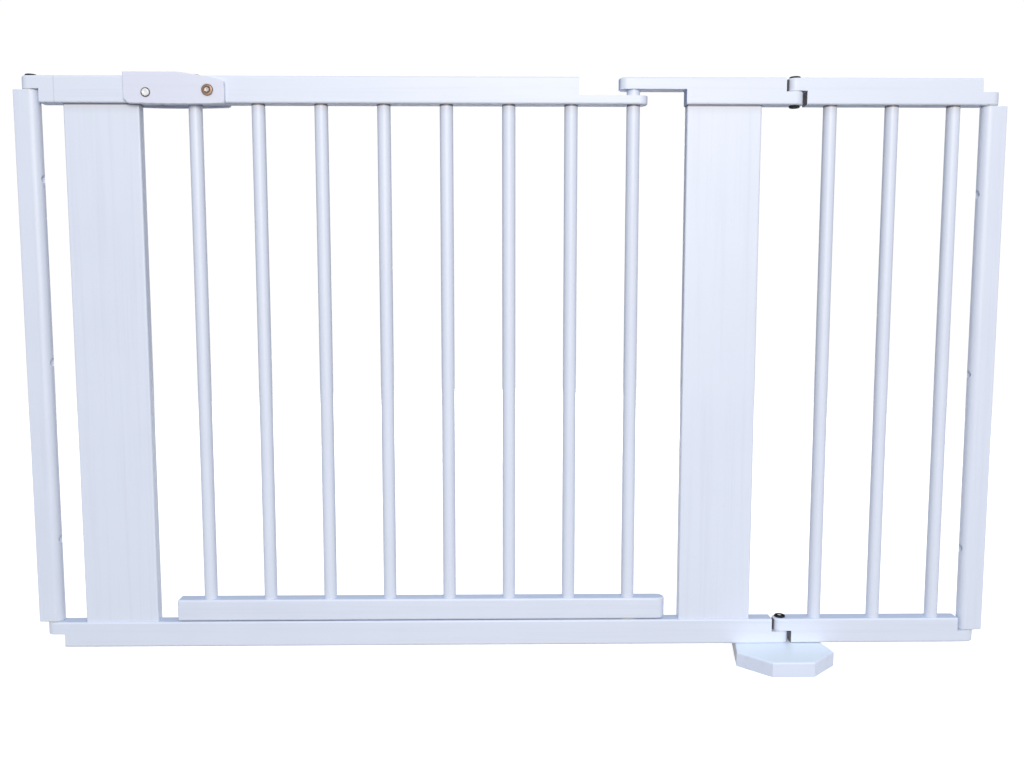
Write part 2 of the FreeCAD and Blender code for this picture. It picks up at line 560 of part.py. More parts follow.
def wing_bottom_rail():
    x0, x1 = WING_PIN - HALF_DEPTH, RIGHT_PIN + HALF_DEPTH
    body = rail(x0, x1, WING_BOTTOM, THRESHOLD_TOP, True, True)
    body = body.cut(lap_cut(x0 - CUT_PAST, WING_PIN + SHOULDER, WING_BOTTOM - CUT_PAST, BOTTOM_LAP_FLOOR))
    body = body.cut(lap_cut(RIGHT_PIN - SHOULDER, x1 + CUT_PAST, BOTTOM_LAP_ROOF, THRESHOLD_TOP + CUT_PAST))
    body = body.cut(dowel_holes(WING_DOWEL_PLACES, THRESHOLD_TOP, RAIL_BOTTOM))
    body = body.cut(rod(SLEEVE_DIAMETER / 2 + RUNNING_FIT, WING_PIN, BOTTOM_SPLIT, THRESHOLD_TOP))
    return body.cut(rod(PIN_DIAMETER / 2, RIGHT_PIN, BOTTOM_LAP_ROOF - PIN_SEAT, BOTTOM_LAP_ROOF))


def wing_dowel(x):
    return rod(DOWEL_RADIUS, x, THRESHOLD_TOP - DOWEL_SEAT, RAIL_BOTTOM + DOWEL_SEAT)


def wing_top_bolt():
    bottom = RAIL_BOTTOM + SLEEVE_CAP + BOLT_RELIEF
    return bolt_down(HEAD_DIAMETER / 2, BOLT_DIAMETER / 2, WING_PIN, RAIL_TOP + HEAD_GAP, bottom)


def wing_top_sleeve_nut():
    length = RAIL_HEIGHT - HOLE_RELIEF
    return sleeve(WING_PIN, 0, RAIL_BOTTOM, UP, NUT_HEAD_DIAMETER / 2, length, length - SLEEVE_CAP)


def wing_bottom_bolt():
    bottom = FOOT_INSERT_FLOOR + BOLT_RELIEF
    return bolt_down(HEAD_DIAMETER / 2, SLEEVE_DIAMETER / 2, WING_PIN, THRESHOLD_TOP + HEAD_GAP, bottom)


# ---------------------------------------------------------------- wall battens
def batten(pin, side, bottom, top):
    """A wall batten: flat against the wall on `side`, half-round about its pin on the other."""
    wall = pin + side * BATTEN_REACH
    shoulder = BATTEN_BACK_ROUND
    bow = shoulder * (1 - math.sqrt(0.5))
    depth = HALF_DEPTH

    def at(x, y):
        return FreeCAD.Vector(x, y, bottom)

    face = outline([
        (at(pin, depth), at(pin - side * depth, 0)),
        (at(pin, -depth), None),
        (at(wall - side * shoulder, -depth), at(wall - side * bow, bow - depth)),
        (at(wall, shoulder - depth), None),
        (at(wall, depth - shoulder), at(wall - side * bow, depth - bow)),
        (at(wall - side * shoulder, depth), None),
    ])
    body = face.extrude(UP * (top - bottom))
    body = body.makeFillet(BATTEN_END_ROUND, level_edges(body, bottom, top))
    middle = (bottom + top) / 2
    reach = BATTEN_REACH + HALF_DEPTH
    inner = pin - side * HALF_DEPTH
    outside = inner - side * CUT_PAST
    outward = RIGHT * side
    for step in (-1, 0, 1):
        z = middle + step * WALL_SCREW_SPACING
        start = FreeCAD.Vector(outside, 0, z)
        body = body.cut(Part.makeCylinder(WALL_SCREW_DIAMETER / 2, reach + 2 * CUT_PAST, start, outward))
        taper = (WALL_SCREW_HEAD - WALL_SCREW_DIAMETER) / 2
        cone = Part.makeCone(WALL_SCREW_HEAD / 2, WALL_SCREW_DIAMETER / 2, taper,
                             FreeCAD.Vector(inner + side * WALL_SCREW_SINK, 0, z), outward)
        mouth = Part.makeCylinder(WALL_SCREW_HEAD / 2, CUT_PAST + WALL_SCREW_SINK, start, outward)
        body = body.cut(cone).cut(mouth)
    return body


LEFT_BATTEN_BOTTOM = THRESHOLD_TOP + LAP_GAP
LEFT_BATTEN_TOP = LOWER_LAP_ROOF
RIGHT_BATTEN_BOTTOM = BOTTOM_LAP_FLOOR
RIGHT_BATTEN_TOP = RAIL_BOTTOM - LAP_GAP


def left_wall_batten():
    body = batten(LEFT_PIN, -1, LEFT_BATTEN_BOTTOM, LEFT_BATTEN_TOP)
    body = body.cut(rod(INSERT_DIAMETER / 2, LEFT_PIN, LEFT_BATTEN_TOP - INSERT_LENGTH, LEFT_BATTEN_TOP))
    return body.cut(pin_socket(LEFT_PIN, LEFT_BATTEN_BOTTOM, 1))


def right_wall_batten():
    body = batten(RIGHT_PIN, 1, RIGHT_BATTEN_BOTTOM, RIGHT_BATTEN_TOP)
    body = body.cut(pin_socket(RIGHT_PIN, RIGHT_BATTEN_BOTTOM, 1))
    return body.cut(pin_socket(RIGHT_PIN, RIGHT_BATTEN_TOP, -1))


def pin_socket(x, end, inward):
    """The hole in a batten's end that turns on a steel pin."""
    depth = PIN_REACH + HOLE_RELIEF
    low = min(end, end + inward * depth)
    return rod(PIN_DIAMETER / 2 + RUNNING_FIT, x, low, low + depth)


def swivel_pin(x, lap_face, into_lap):
    """A steel pin held in a lap, standing out of its face into the batten."""
    held = lap_face + into_lap * PIN_SEAT
    free = lap_face - into_lap * (LAP_GAP + PIN_REACH)
    return rod(PIN_DIAMETER / 2, x, min(held, free), max(held, free))


def left_batten_insert():
    bottom = LEFT_BATTEN_TOP - INSERT_LENGTH
    ring = rod(INSERT_DIAMETER / 2, LEFT_PIN, bottom, LEFT_BATTEN_TOP)
    return ring.cut(rod(BOLT_DIAMETER / 2, LEFT_PIN, bottom - CUT_PAST, LEFT_BATTEN_TOP + CUT_PAST))


def left_top_bolt():
    bottom = LEFT_BATTEN_TOP - INSERT_LENGTH + BOLT_RELIEF
    return bolt_down(HEAD_DIAMETER / 2, BOLT_DIAMETER / 2, LEFT_PIN, RAIL_TOP + HEAD_GAP, bottom)


# ---------------------------------------------------------------- every sub-part
def main():
    os.makedirs("parts", exist_ok=True)
    save("threshold_rail", threshold_rail())
    save("left_top_rail", left_top_rail())
    save("middle_top_rail", middle_top_rail())
    save("left_board", board(LEFT_BOARD))
    save("middle_board", board(MIDDLE_BOARD))
    save("left_board_pegs", *board_pegs(LEFT_BOARD))
    save("middle_board_pegs", *board_pegs(MIDDLE_BOARD))
    save("foot_block", foot_block())
    save("foot_screws", *foot_screw_group().Solids)
    save("foot_insert", foot_insert())
    save("button_collar", button_collar())
    save("lock_button", lock_button())
    save("lock_spring", lock_spring())

    save("door_top_rail", door_top_rail())
    save("door_bottom_rail", door_bottom_rail())
    for number, x in enumerate(DOOR_DOWEL_PLACES, 1):
        save("door_dowel_%d" % number, door_dowel(x))
    save("door_pivot_dowel", door_pivot_dowel())
    save("door_rail_bolt", door_rail_bolt())
    pivot_hole = DOWEL_RADIUS + RUNNING_FIT
    save("door_pivot_washer", washer(HALF_DEPTH, pivot_hole, DOOR_PIVOT, THRESHOLD_TOP))
    save("latch_clasp", latch_clasp())
    save("latch_bolt", latch_bolt())
    save("latch_sleeve_nut", latch_sleeve_nut())

    save("wing_top_rail", wing_top_rail())
    save("wing_bottom_rail", wing_bottom_rail())
    for number, x in enumerate(WING_DOWEL_PLACES, 1):
        save("wing_dowel_%d" % number, wing_dowel(x))
    save("wing_top_bolt", wing_top_bolt())
    save("wing_top_sleeve_nut", wing_top_sleeve_nut())
    save("wing_bottom_bolt", wing_bottom_bolt())

    save("left_wall_batten", left_wall_batten())
    save("left_batten_insert", left_batten_insert())
    save("left_top_bolt", left_top_bolt())
    save("left_bottom_pin", swivel_pin(LEFT_PIN, THRESHOLD_TOP, -1))
    save("right_wall_batten", right_wall_batten())
    save("right_top_pin", swivel_pin(RIGHT_PIN, RAIL_BOTTOM, 1))
    save("right_bottom_pin", swivel_pin(RIGHT_PIN, BOTTOM_LAP_ROOF, -1))

    ring, sleeve_hole = WASHER_DIAMETER / 2, SLEEVE_DIAMETER / 2
    save("wing_top_washer", washer(ring, sleeve_hole, WING_PIN, LOWER_LAP_ROOF))
    save("wing_bottom_washer", washer(ring, sleeve_hole, WING_PIN, BOTTOM_LAP_ROOF))
    save("left_top_washer", washer(ring, BOLT_DIAMETER / 2, LEFT_PIN, LEFT_BATTEN_TOP))
    save("left_bottom_washer", washer(ring, PIN_DIAMETER / 2, LEFT_PIN, THRESHOLD_TOP))
    save("right_top_washer", washer(ring, PIN_DIAMETER / 2 + RUNNING_FIT, RIGHT_PIN, RIGHT_BATTEN_TOP))
    save("right_bottom_washer", washer(ring, PIN_DIAMETER / 2, RIGHT_PIN, BOTTOM_LAP_ROOF))


main()
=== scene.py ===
"""Safety baby gate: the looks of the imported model, laid out as an add-on and run as a script."""

import json
import math

import bmesh
import bpy
from mathutils import Matrix, Vector


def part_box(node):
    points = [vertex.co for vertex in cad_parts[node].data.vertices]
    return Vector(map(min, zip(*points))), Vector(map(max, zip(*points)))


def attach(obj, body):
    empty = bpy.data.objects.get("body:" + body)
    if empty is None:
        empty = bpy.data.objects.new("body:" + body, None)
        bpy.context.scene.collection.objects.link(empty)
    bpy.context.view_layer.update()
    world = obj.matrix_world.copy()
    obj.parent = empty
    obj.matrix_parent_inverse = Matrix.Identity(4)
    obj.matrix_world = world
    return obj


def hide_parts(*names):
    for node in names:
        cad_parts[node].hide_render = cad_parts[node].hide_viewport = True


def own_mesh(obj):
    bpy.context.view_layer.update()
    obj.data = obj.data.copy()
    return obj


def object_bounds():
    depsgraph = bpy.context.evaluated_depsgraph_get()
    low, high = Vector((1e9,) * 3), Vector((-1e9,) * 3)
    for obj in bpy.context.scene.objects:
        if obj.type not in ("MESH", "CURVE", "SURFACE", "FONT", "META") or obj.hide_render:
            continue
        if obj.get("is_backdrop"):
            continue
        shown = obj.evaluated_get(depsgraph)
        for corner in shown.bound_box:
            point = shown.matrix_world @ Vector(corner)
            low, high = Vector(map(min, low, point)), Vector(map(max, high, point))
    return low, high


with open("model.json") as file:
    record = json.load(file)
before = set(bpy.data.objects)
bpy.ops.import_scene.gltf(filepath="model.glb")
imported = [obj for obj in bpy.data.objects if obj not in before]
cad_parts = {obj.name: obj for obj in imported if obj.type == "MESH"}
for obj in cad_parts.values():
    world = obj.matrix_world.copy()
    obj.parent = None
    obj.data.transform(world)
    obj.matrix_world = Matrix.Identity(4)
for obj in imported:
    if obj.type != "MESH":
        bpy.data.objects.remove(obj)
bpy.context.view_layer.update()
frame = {"nodes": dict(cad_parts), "record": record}

bl_info = {
    "name": "Safety baby gate",
    "version": (1, 0, 0),
    "blender": (4, 5, 0),
    "location": "3D View > Sidebar > Baby gate",
    "description": "Finishes a wooden safety gate: lacquer, furniture bolts, latch clasp and studio",
    "category": "Object",
}

MM = 0.001
ROUND_STEPS = 48        # facets round a turned piece
BODY_OF = {node: body for body, nodes in frame["record"]["behaviour"]["bodies"].items() for node in nodes}

ACROSS_RAILS = ["threshold_rail", "left_top_rail", "middle_top_rail", "door_top_rail", "door_bottom_rail",
                "wing_top_rail", "wing_bottom_rail"]
UPRIGHT_BOARDS = ["left_board", "middle_board"]
WALL_BATTENS = ["left_wall_batten", "right_wall_batten"]
BARS = sorted(name for name in frame["nodes"] if "_dowel" in name)
PEGS = ["left_board_pegs", "middle_board_pegs"]
WASHERS = sorted(name for name in frame["nodes"] if name.endswith("_washer"))
HIDDEN_STEEL = ["foot_screws", "foot_insert", "left_batten_insert", "lock_spring", "left_bottom_pin",
                "right_top_pin", "right_bottom_pin"]


# ---------------------------------------------------------------- settings a maker would change
class GateLacquerSettings(bpy.types.PropertyGroup):
    """Colours and grain of the lacquered wood."""

    rail_colour: bpy.props.FloatVectorProperty(
        name="Lacquer", description="White lacquer with a cool cast", subtype="COLOR", size=3,
        min=0.0, max=1.0, default=(0.745, 0.80, 0.915))
    shade_colour: bpy.props.FloatVectorProperty(
        name="Thin lacquer", description="Where the lacquer is thin over the grain", subtype="COLOR", size=3,
        min=0.0, max=1.0, default=(0.655, 0.70, 0.82))
    # painted shade: stands in for the shade on top faces, undersides and the end grain in the laps
    level_face_shade_colour: bpy.props.FloatVectorProperty(
        name="Sheltered faces", description="Dusty, thinly lacquered faces above, below and in the laps",
        subtype="COLOR", size=3, min=0.0, max=1.0, default=(0.375, 0.485, 0.71))
    # this colour paints the joint line and also painted shade: the shadow under the rails, the clasp's window
    # and the hinges' gaps
    seam_and_shade_colour: bpy.props.FloatVectorProperty(
        name="Joint line", description="The dark line where two pieces of wood meet", subtype="COLOR", size=3,
        min=0.0, max=1.0, default=(0.16, 0.135, 0.135))
    # painted shade in the joints' corners and round the latch bolt's head, and a faint real glue line at the
    # tenons
    dust_and_shade_colour: bpy.props.FloatVectorProperty(
        name="Corner dust", description="Dust that settles in the corners of the joints", subtype="COLOR",
        size=3, min=0.0, max=1.0, default=(0.52, 0.51, 0.52))
    # the width takes in a painted shadow line below the rail as well as the joint
    seam_and_shadow_width: bpy.props.FloatProperty(
        name="Joint line width", description="Width of the dark line where two pieces meet",
        subtype="DISTANCE", unit="LENGTH", min=0.0, max=0.003, default=0.0019)
    lap_block: bpy.props.FloatProperty(
        name="Lap block", description="Length of the block glued on to each lapped end",
        subtype="DISTANCE", unit="LENGTH", min=0.02, max=0.06, default=0.0405)
    # painted deep shade on the end grain near a pivot
    dark_end_reach: bpy.props.FloatProperty(
        name="Dark end reach", description="How far from a pivot the end grain stands in deep shade",
        subtype="DISTANCE", unit="LENGTH", min=0.005, max=0.06, default=0.020)
    foot_colour: bpy.props.FloatVectorProperty(
        name="Foot lacquer", description="The foot block's slightly bluer lacquer", subtype="COLOR", size=3,
        min=0.0, max=1.0, default=(0.77, 0.84, 0.99))
    # painted light: the foot's upper face is lighter because of how the light falls on it
    foot_top_painted_light: bpy.props.FloatVectorProperty(
        name="Foot's top", description="The upper face of the foot block", subtype="COLOR", size=3,
        min=0.0, max=1.0, default=(0.82, 0.91, 1.0))
    clasp_colour: bpy.props.FloatVectorProperty(
        name="Clasp lacquer", description="The clasp's slightly warmer lacquer", subtype="COLOR", size=3,
        min=0.0, max=1.0, default=(0.735, 0.765, 0.89))
    peg_colour: bpy.props.FloatVectorProperty(
        name="Bare beech", description="Unfinished beech inside the joints", subtype="COLOR", size=3,
        min=0.0, max=1.0, default=(0.62, 0.44, 0.28))
    grain_depth: bpy.props.FloatProperty(
        name="Grain depth", description="Height of the grain that shows through the lacquer",
        subtype="DISTANCE", unit="LENGTH", min=0.0, max=0.001, default=0.00008)
    lacquer_gloss: bpy.props.FloatProperty(
        name="Lacquer roughness", description="Roughness of the satin lacquer", subtype="FACTOR",
        min=0.0, max=1.0, default=0.42)


class GateHardwareSettings(bpy.types.PropertyGroup):
    """Bolts, nuts, button and clasp."""

    black_colour: bpy.props.FloatVectorProperty(
        name="Black oxide", description="Blackened furniture bolts", subtype="COLOR", size=3,
        min=0.0, max=1.0, default=(0.008, 0.008, 0.010))
    bronze_colour: bpy.props.FloatVectorProperty(
        name="Antique bronze", description="The latch bolt's plating", subtype="COLOR", size=3,
        min=0.0, max=1.0, default=(0.30, 0.20, 0.145))
    # also paints the highlight in the black bolts' sockets
    worn_black_and_highlight_colour: bpy.props.FloatVectorProperty(
        name="Worn black", description="Black oxide rubbed down to the steel", subtype="COLOR", size=3,
        min=0.0, max=1.0, default=(0.85, 0.85, 0.85))
    # painted shade round the sockets' mouths and under the heads
    socket_shade_colour: bpy.props.FloatVectorProperty(
        name="Socket dirt", description="What gathers in the sockets and under the heads", subtype="COLOR",
        size=3, min=0.0, max=1.0, default=(0.012, 0.010, 0.009))
    # also paints the highlight in the latch bolt's socket
    bright_metal_and_highlight_colour: bpy.props.FloatVectorProperty(
        name="Bright metal", description="Bare metal where plating is rubbed away", subtype="COLOR", size=3,
        min=0.0, max=1.0, default=(0.90, 0.84, 0.78))
    button_colour: bpy.props.FloatVectorProperty(
        name="Button", description="White moulded push button", subtype="COLOR", size=3,
        min=0.0, max=1.0, default=(0.86, 0.865, 0.875))
    nylon_colour: bpy.props.FloatVectorProperty(
        name="Nylon", description="Natural nylon washers", subtype="COLOR", size=3,
        min=0.0, max=1.0, default=(0.78, 0.77, 0.72))
    socket_across: bpy.props.FloatProperty(
        name="Hex socket", description="Size across the flats of the hex sockets",
        subtype="DISTANCE", unit="LENGTH", min=0.002, max=0.008, default=0.005)
    latch_socket_across: bpy.props.FloatProperty(
        name="Latch bolt socket", description="Size across the flats of the latch bolt's socket",
        subtype="DISTANCE", unit="LENGTH", min=0.002, max=0.008, default=0.005)
    head_height: bpy.props.FloatProperty(
        name="Head height", description="Height of the bolt heads", subtype="DISTANCE", unit="LENGTH",
        min=0.001, max=0.005, default=0.0023)
    socket_depth: bpy.props.FloatProperty(
        name="Socket depth", description="Depth of the hex sockets", subtype="DISTANCE", unit="LENGTH",
        min=0.0005, max=0.002, default=0.0009)
    bolt_diameter: bpy.props.FloatProperty(
        name="Bolt", description="Diameter of the bolts' shanks", subtype="DISTANCE", unit="LENGTH",
        min=0.004, max=0.008, default=0.006)
    sleeve_diameter: bpy.props.FloatProperty(
        name="Sleeve", description="Diameter of the sleeve nuts' barrels", subtype="DISTANCE", unit="LENGTH",
        min=0.006, max=0.012, default=0.008)
    # a painted shadow ring round the latch bolt's head
    latch_bolt_shade_radius: bpy.props.FloatProperty(
        name="Latch bolt's ring", description="Where dust settles round the latch bolt", subtype="DISTANCE",
        unit="LENGTH", min=0.004, max=0.010, default=0.0066)
    window_radius: bpy.props.FloatProperty(
        name="Button window", description="Radius of the clasp's window round the button", subtype="DISTANCE",
        unit="LENGTH", min=0.004, max=0.008, default=0.0054)
    button_dish: bpy.props.FloatProperty(
        name="Button dish", description="Depth of the finger dish in the button", subtype="DISTANCE",
        unit="LENGTH", min=0.0, max=0.001, default=0.0005)
    rim_wear: bpy.props.FloatProperty(
        name="Rim wear", description="How far the heads' rims are rubbed bright", subtype="FACTOR",
        min=0.0, max=1.0, default=0.06)
    head_crown: bpy.props.FloatProperty(
        name="Head crown", description="How far a bolt head's rim falls below its top",
        subtype="DISTANCE", unit="LENGTH", min=0.0, max=0.002, default=0.0009)
    spring_wire: bpy.props.FloatProperty(
        name="Spring wire", description="Thickness of the spring's wire", subtype="DISTANCE", unit="LENGTH",
        min=0.0003, max=0.002, default=0.0008)
    spring_turns: bpy.props.IntProperty(
        name="Spring turns", description="Turns of the spring's coil", min=2, max=12, default=5)
    spring_end_gap: bpy.props.FloatProperty(
        name="Spring end gap", description="Room left at each end of the spring", subtype="DISTANCE",
        unit="LENGTH", min=0.0, max=0.001, default=0.00005)
    spring_squashed: bpy.props.FloatProperty(
        name="Spring squashed", description="Share of its length the spring keeps with the button pressed",
        subtype="FACTOR", min=0.1, max=1.0, default=0.37)
    button_shadow_gap: bpy.props.FloatProperty(
        name="Button gap", description="Room between the button and the clasp's window",
        subtype="DISTANCE", unit="LENGTH", min=0.0, max=0.002, default=0.0009)


class GateStudioSettings(bpy.types.PropertyGroup):
    """Camera, floor and lights."""

    camera_place: bpy.props.FloatVectorProperty(
        name="Camera", description="Where the camera stands", subtype="TRANSLATION", unit="LENGTH", size=3,
        default=(-0.0202, -1.174, 0.4666))
    camera_tilt: bpy.props.FloatProperty(
        name="Tilt", description="How far the camera looks down", subtype="ANGLE", unit="ROTATION",
        default=math.radians(5.76))
    camera_turn: bpy.props.FloatProperty(
        name="Turn", description="How far the camera looks to the right", subtype="ANGLE", unit="ROTATION",
        default=math.radians(0.86))
    camera_lens: bpy.props.FloatProperty(
        name="Lens", description="Focal length in millimetres", min=10.0, max=200.0, default=33.5)
    floor_colour: bpy.props.FloatVectorProperty(
        name="Floor", description="Pale studio floor", subtype="COLOR", size=3,
        min=0.0, max=1.0, default=(0.93, 0.93, 0.94))
    floor_glow: bpy.props.FloatProperty(
        name="Floor glow", description="Light table under the object, so that the floor stays pale", min=0.0,
        default=0.60)
    floor_reach: bpy.props.FloatProperty(
        name="Floor reach", description="Where the floor begins to fade into the surround",
        subtype="DISTANCE", unit="LENGTH", min=0.5, max=20.0, default=1.8)
    surround_reach: bpy.props.FloatProperty(
        name="Surround reach", description="Radius of the white surround", subtype="DISTANCE", unit="LENGTH",
        min=5.0, max=50.0, default=20.0)
    key_colour: bpy.props.FloatVectorProperty(
        name="Key colour", description="Slightly warm front light", subtype="COLOR", size=3,
        min=0.0, max=1.0, default=(1.0, 0.93, 0.85))
    key_power: bpy.props.FloatProperty(
        name="Key light", description="Power of the large front light", subtype="POWER", min=0.0,
        default=52.0)
    key_place: bpy.props.FloatVectorProperty(
        name="Key light's place", description="Where the large front light stands", subtype="TRANSLATION",
        unit="LENGTH", size=3, default=(0.22, -2.5, 1.35))
    key_size: bpy.props.FloatProperty(
        name="Key light's size", description="Diameter of the front softbox", subtype="DISTANCE",
        unit="LENGTH", min=0.1, max=5.0, default=1.7)
    back_place: bpy.props.FloatVectorProperty(
        name="Back light's place", description="Where the light behind stands", subtype="TRANSLATION",
        unit="LENGTH", size=3, default=(0.0, 3.2, 0.75))
    back_size: bpy.props.FloatProperty(
        name="Back light's size", description="Diameter of the softbox behind", subtype="DISTANCE",
        unit="LENGTH", min=0.1, max=5.0, default=1.2)
    back_power: bpy.props.FloatProperty(
        name="Back light", description="Power of the light behind, for the far side", subtype="POWER",
        min=0.0, default=60.0)
    sky_colour: bpy.props.FloatVectorProperty(
        name="Light from above", description="Soft cool light from above", subtype="COLOR", size=3,
        min=0.0, max=2.0, default=(0.58, 0.66, 0.78))
    back_share: bpy.props.FloatProperty(
        name="Light from behind", description="Share of the soft light that comes from behind",
        subtype="FACTOR", min=0.0, max=1.0, default=0.45)
    ground_colour: bpy.props.FloatVectorProperty(
        name="Light from below", description="Weak light from below", subtype="COLOR", size=3,
        min=0.0, max=2.0, default=(0.16, 0.155, 0.16))


# ---------------------------------------------------------------- shader maths
class Wire:
    """A shader socket. Python's operators on it add Math nodes to the finish it belongs to."""

    def __init__(self, finish, socket):
        self.finish = finish
        self.socket = socket

    def maths(self, operation, first, second=None):
        values = {0: first}
        if second is not None:
            values[1] = second
        return self.finish.node("ShaderNodeMath", {"operation": operation}, values)

    def __add__(self, other):
        return self.maths("ADD", self, other)

    def __radd__(self, other):
        return self.maths("ADD", other, self)

    def __sub__(self, other):
        return self.maths("SUBTRACT", self, other)

    def __rsub__(self, other):
        return self.maths("SUBTRACT", other, self)

    def __mul__(self, other):
        return self.maths("MULTIPLY", self, other)

    def __rmul__(self, other):
        return self.maths("MULTIPLY", other, self)

    def __pow__(self, other):
        return self.maths("POWER", self, other)

    def __abs__(self):
        return self.maths("ABSOLUTE", self)

    def larger(self, other):
        return self.maths("MAXIMUM", self, other)

    def ramp(self, low, high):
        """0 below low, 1 above high, and smooth between."""
        return self.finish.node(
            "ShaderNodeMapRange", {"interpolation_type": "SMOOTHSTEP"},
            {"Value": self, "From Min": low, "From Max": high, "To Min": 0.0, "To Max": 1.0})


class Finish:
    """One material's node tree around a Principled shader."""

    def __init__(self, name):
        self.material = bpy.data.materials.new(name)
        self.material.use_nodes = True
        self.tree = self.material.node_tree
        self.shader = self.tree.nodes["Principled BSDF"]

    def node(self, kind, settings=None, inputs=None, output=0):
        """Any node: its settings are set first, then its sockets get a value or a link."""
        made = self.tree.nodes.new(kind)
        for setting, value in (settings or {}).items():
            setattr(made, setting, value)
        for socket, value in (inputs or {}).items():
            if isinstance(value, Wire):
                self.tree.links.new(value.socket, made.inputs[socket])
            else:
                made.inputs[socket].default_value = value
        return Wire(self, made.outputs[output])

    def place(self):
        """The surface point in the row's frame, in metres."""
        return self.node("ShaderNodeTexCoord", output="Object")

    def facing(self):
        """The parts of the surface normal in the piece's own frame, which turns with the piece."""
        normal = self.node("ShaderNodeTexCoord", output="Normal")
        return [self.part(normal, axis) for axis in "XYZ"]

    def part(self, vector, axis):
        return self.node("ShaderNodeSeparateXYZ", None, {"Vector": vector}, output=axis)

    def noise(self, vector, scale, detail=2.0, roughness=0.5, distortion=0.0):
        return self.node("ShaderNodeTexNoise", {"noise_dimensions": "3D"},
                         {"Vector": vector, "Scale": scale, "Detail": detail, "Roughness": roughness,
                          "Distortion": distortion})

    def stretched(self, vector, stretch):
        return self.node("ShaderNodeMapping", {"vector_type": "POINT"}, {"Vector": vector, "Scale": stretch})

    def blend(self, amount, first, second):
        """A colour between two, by amount."""
        return self.node("ShaderNodeMix", {"data_type": "RGBA", "clamp_factor": True},
                         {0: amount, 6: colour(first), 7: colour(second)}, output=2)

    def bump(self, height, distance):
        return self.node("ShaderNodeBump", None, {"Height": height, "Distance": distance, "Strength": 1.0})

    def set(self, socket, value):
        """A constant goes on the shader's own socket, and what varies is linked to it."""
        if isinstance(value, Wire):
            self.tree.links.new(value.socket, self.shader.inputs[socket])
        elif hasattr(value, "__len__"):
            self.shader.inputs[socket].default_value = colour(value)
        else:
            self.shader.inputs[socket].default_value = value


def colour(value):
    """Four numbers for a colour socket; a wire passes through."""
    if isinstance(value, Wire) or len(value) == 4:
        return value
    return (value[0], value[1], value[2], 1.0)


